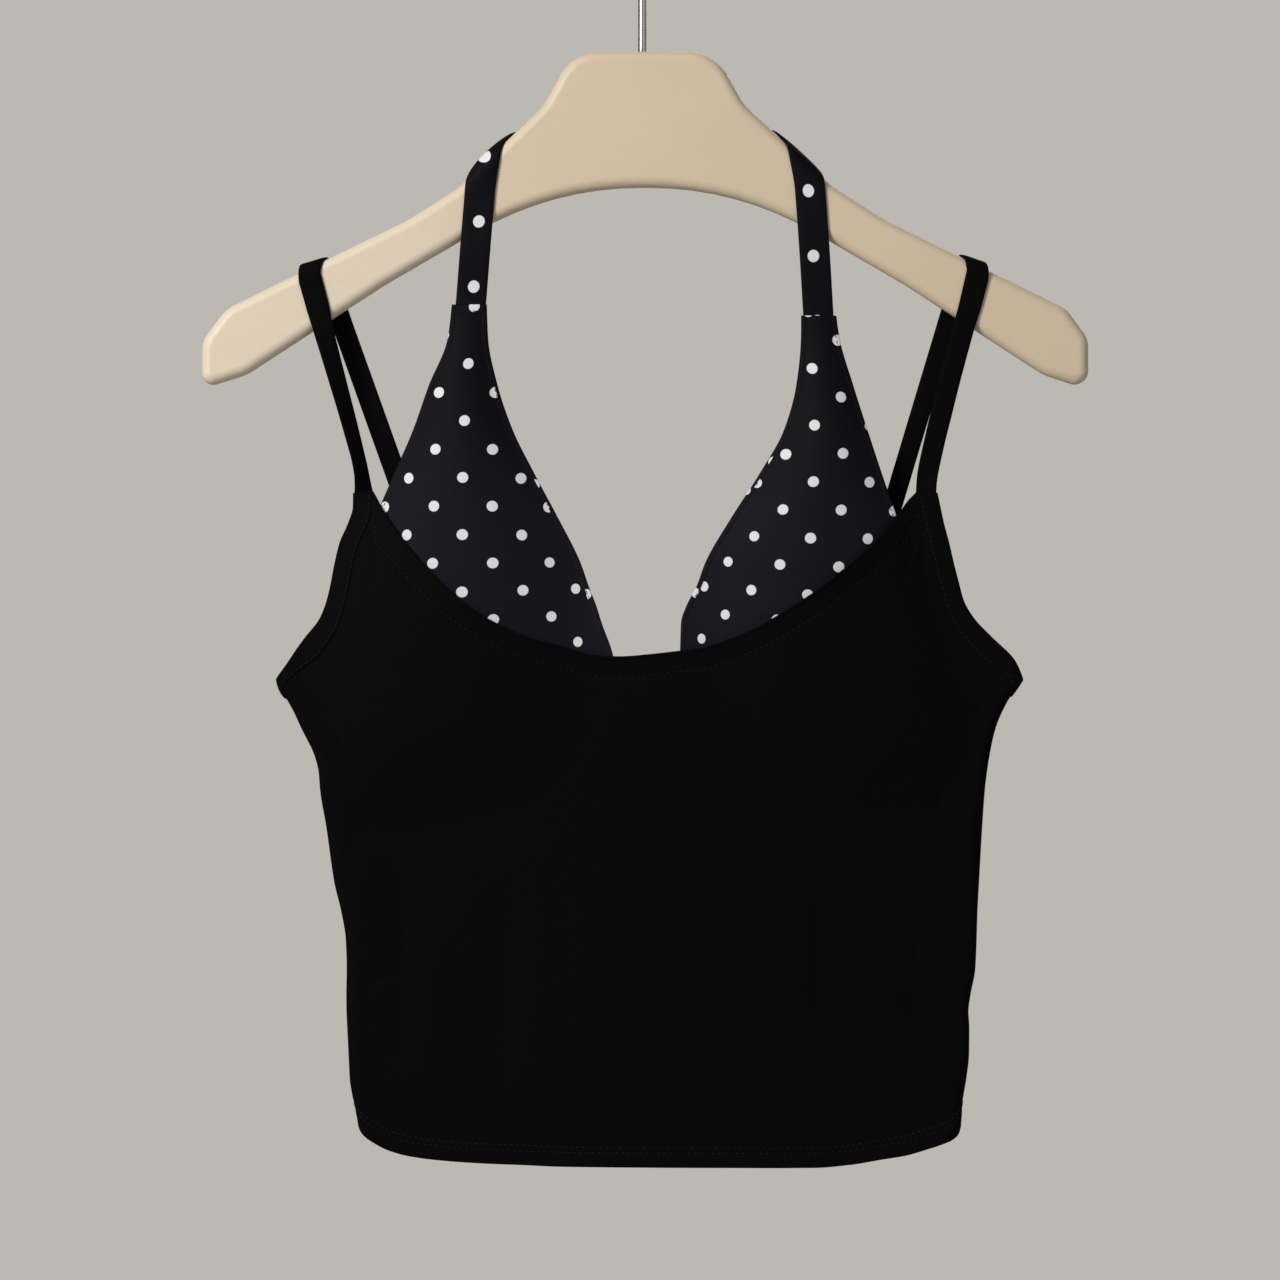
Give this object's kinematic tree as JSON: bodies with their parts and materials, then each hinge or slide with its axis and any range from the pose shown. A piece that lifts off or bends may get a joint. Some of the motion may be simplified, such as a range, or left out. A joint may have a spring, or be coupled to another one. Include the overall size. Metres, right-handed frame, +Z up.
{
  "type": "halter yoga top on a clothes hanger",
  "caption": "Black two-layer yoga top hung on a cream hanger: a cropped scoop-neck camisole over a polka-dot halter bra.",
  "frame": {"origin": "inside of the top of the hanger's hook, where a clothes rail carries it", "axes": "+Z up, -Y is the garment's front, +X is to the right of someone who faces the front"},
  "size_m": [0.4, 0.0335, 0.5898],
  "materials": {
    "black_jersey": "matt black stretch jersey with fine ribs of the knit",
    "dotted_jersey": "smooth black stretch jersey with a slight sheen, printed with an even repeat of white dots",
    "cream_wood": "smooth pale lacquered wood with rounded edges",
    "steel_wire": "bright plated wire"
  },
  "bodies": {
    "root": {"front_panel": "black_jersey", "back_panel": "black_jersey", "shoulder_strap_left": "black_jersey", "shoulder_strap_right": "black_jersey", "armhole_band_left": "black_jersey", "armhole_band_right": "black_jersey", "cup_left": "dotted_jersey", "cup_right": "dotted_jersey", "halter_strap": "dotted_jersey", "hanger": "cream_wood", "hanger_hook": "steel_wire"}
  },
  "joints": []
}
